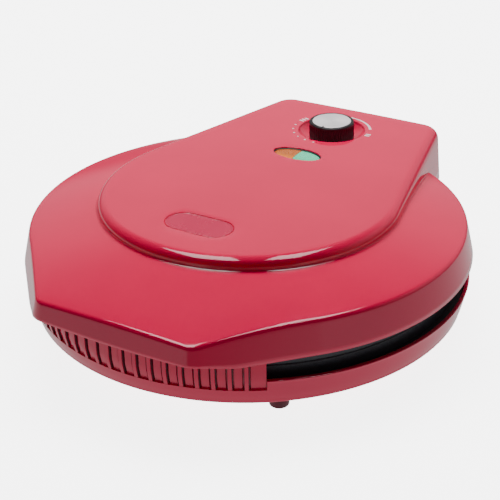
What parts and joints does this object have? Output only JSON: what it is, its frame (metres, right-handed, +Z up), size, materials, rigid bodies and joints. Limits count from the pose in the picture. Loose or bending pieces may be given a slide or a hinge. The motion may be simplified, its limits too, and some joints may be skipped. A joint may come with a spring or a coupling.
{
  "type": "electric pizza maker",
  "caption": "Round clamshell contact grill: hinged domed lid with a front lip, two round non-stick plates, a control knob, indicator lamps and a finned front guard.",
  "frame": {"origin": "on the resting surface, under the middle of the part's bounding box; the round plates' centre is 3.7 mm in front of it", "axes": "+X to the right, -Y towards the front lip, +Z up, away from the resting surface"},
  "size_m": [0.348, 0.3786, 0.1015],
  "materials": {
    "red_plastic": "glossy",
    "dark_red_rubber": "matt",
    "coated_plate": "dark non-stick coating",
    "sheet_metal": "plain rolled",
    "spring_metal": "plain",
    "heater_sheath": "oxidised",
    "screw_steel": "zinc plated",
    "pin_steel": "ground",
    "black_plastic": "satin",
    "frame_plastic": "matt",
    "cap_metal": "spun face",
    "amber_lens": "clear",
    "green_lens": "clear",
    "lamp_glass": "clear",
    "badge_red": "satin",
    "terminal_plastic": "matt",
    "bakelite": "matt",
    "lead_sleeve": "matt",
    "cable_sleeve": "matt"
  },
  "bodies": {
    "base": {"base_shell": "red_plastic", "base_inner_frame": "frame_plastic", "base_screws": "screw_steel", "front_grille": "red_plastic", "feet": "dark_red_rubber", "lower_heat_shield": "sheet_metal", "lower_shield_screws": "screw_steel", "lower_heating_element": "heater_sheath", "lower_element_terminals": "pin_steel", "lower_heater_clips": "spring_metal", "lower_cooking_plate": "coated_plate", "lower_plate_screws": "screw_steel", "terminal_block": "terminal_plastic", "thermal_fuse": "terminal_plastic", "cord_gland": "black_plastic", "hinge_pin_left": "pin_steel", "hinge_pin_right": "pin_steel", "supply_leads": "lead_sleeve", "heater_leads": "lead_sleeve", "fuse_lead": "lead_sleeve", "hinge_cable_base": "cable_sleeve"},
    "lid": {"lid_shell": "red_plastic", "lid_inner_frame": "frame_plastic", "lid_screws": "screw_steel", "upper_heat_shield": "sheet_metal", "upper_shield_screws": "screw_steel", "upper_heating_element": "heater_sheath", "upper_element_terminals": "pin_steel", "upper_heater_clips": "spring_metal", "upper_cooking_plate": "coated_plate", "upper_plate_screws": "screw_steel", "hinge_bracket": "black_plastic", "hinge_bracket_screws": "screw_steel", "thermostat_body": "bakelite", "thermostat_bracket": "sheet_metal", "thermostat_screws": "screw_steel", "lens_amber": "amber_lens", "lens_green": "green_lens", "lamp_holder": "frame_plastic", "lamp_amber": "lamp_glass", "lamp_green": "lamp_glass", "badge_plate": "badge_red", "lid_leads": "lead_sleeve", "hinge_cable_lid": "cable_sleeve"},
    "knob": {"thermostat_shaft": "pin_steel", "knob_body": "black_plastic", "knob_cap": "cap_metal", "knob_spring": "spring_metal"}
  },
  "joints": [
    {"name": "lid_hinge", "type": "hinge", "parent": "base", "child": "lid", "pos_m": [0, 0.1733, 0.038], "axis": [-1, 0, 0], "range_deg": [0, 100]},
    {"name": "knob_turn", "type": "hinge", "parent": "lid", "child": "knob", "pos_m": [0, 0.1353, 0.095], "axis": [0, 0, -1], "range_deg": [0, 300]}
  ]
}
